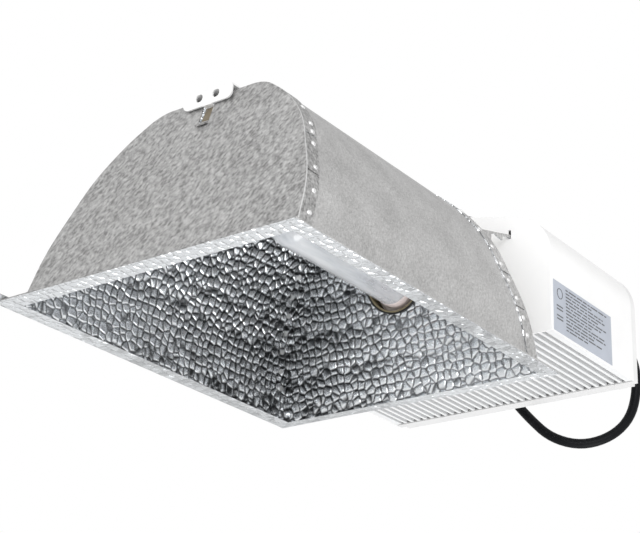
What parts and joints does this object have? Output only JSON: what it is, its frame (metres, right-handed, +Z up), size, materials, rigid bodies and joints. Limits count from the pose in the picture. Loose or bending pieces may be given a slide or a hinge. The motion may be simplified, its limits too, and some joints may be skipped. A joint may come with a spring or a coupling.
{
  "type": "grow lamp",
  "caption": "Hooded grow lamp: hammered reflector with a tubular lamp, hooked and strapped to a white finned ballast housing with a coiled supply cord.",
  "frame": {"origin": "middle of the front hanger's two holes, on its outer face", "axes": "+X along the hood from the front hanger towards the ballast housing, +Z up, light leaves along -Z"},
  "size_m": [0.6243, 0.29, 0.2219],
  "materials": {
    "reflector_sheet": "hammered reflector sheet, bright inside and satin outside",
    "rivet_metal": "bright rolled",
    "edging_rubber": "matt black",
    "lamp_glass": "clear, streaked",
    "lamp_ceramic": "glazed ceramic, pinkish white",
    "arc_ceramic": "translucent ceramic",
    "lamp_metal": "bright wire",
    "contact_brass": "plain",
    "white_enamel": "smooth white powder coat",
    "sink_enamel": "light grey powder coat",
    "label_film": "pale blue-grey film",
    "collar_enamel": "tan heat-proof paint",
    "holder_ceramic": "glazed ceramic",
    "screw_steel": "zinc plated",
    "board_laminate": "green solder mask",
    "barrier_film": "insulating film",
    "ferrite": "pressed ferrite",
    "magnet_wire": "varnished copper",
    "can_plastic": "sleeved can",
    "box_plastic": "moulded box",
    "chip_plastic": "moulded package",
    "spreader_metal": "mill finish",
    "wire_rubber": "insulated wire",
    "cord_rubber": "black, slightly glossy",
    "blade_brass": "plain",
    "tie_fabric": "woven hook and loop"
  },
  "bodies": {
    "reflector": {"reflector_barrel": "reflector_sheet", "near_end_plate": "reflector_sheet", "far_end_plate": "reflector_sheet", "near_end_rivets": "rivet_metal", "far_end_rivets": "rivet_metal", "lamp_hole_edging": "edging_rubber"},
    "lamp": {"lamp_bulb": "lamp_glass", "lamp_base": "lamp_ceramic", "lamp_pins": "lamp_metal", "arc_tube": "arc_ceramic", "frame_wires": "lamp_metal", "getter": "lamp_metal"},
    "ballast": {"housing_cover": "white_enamel", "front_panel": "white_enamel", "end_cap": "white_enamel", "heat_sink": "sink_enamel", "label_plate": "label_film", "hanger_arm": "white_enamel", "rear_hanger": "white_enamel", "mounting_blocks": "spreader_metal", "panel_screws": "screw_steel", "cap_screws": "screw_steel", "arm_screws": "screw_steel", "collar_screws": "screw_steel", "lampholder_screws": "screw_steel", "rear_hanger_screws": "screw_steel", "lampholder": "holder_ceramic", "lampholder_contacts": "contact_brass", "lampholder_bracket": "screw_steel", "heat_collar": "collar_enamel", "insulating_sheet": "barrier_film", "board_standoffs": "screw_steel", "circuit_board": "board_laminate", "choke_core": "ferrite", "choke_winding": "magnet_wire", "transformer_core": "ferrite", "transformer_winding": "magnet_wire", "bulk_capacitors": "can_plastic", "film_capacitors": "box_plastic", "noise_filter_coil": "magnet_wire", "ignitor": "can_plastic", "power_transistors": "chip_plastic", "heat_spreader": "spreader_metal", "transistor_clips": "screw_steel", "terminal_block": "can_plastic", "supply_wires": "wire_rubber", "lamp_wires": "wire_rubber", "ground_screw": "screw_steel", "strain_relief": "cord_rubber", "power_cord": "cord_rubber", "cord_coil": "cord_rubber", "coil_tie": "tie_fabric", "plug_lead": "cord_rubber", "plug_body": "cord_rubber", "plug_blades": "blade_brass"}
  },
  "joints": [
    {"name": "reflector_lift", "type": "slide", "parent": "ballast", "child": "reflector", "axis": [0, 0, 1], "range_m": [0, 0.0022]},
    {"name": "lamp_twist", "type": "hinge", "parent": "ballast", "child": "lamp", "pos_m": [0.274, 0, -0.0675], "axis": [-1, 0, 0], "range_deg": [0, 15]}
  ]
}
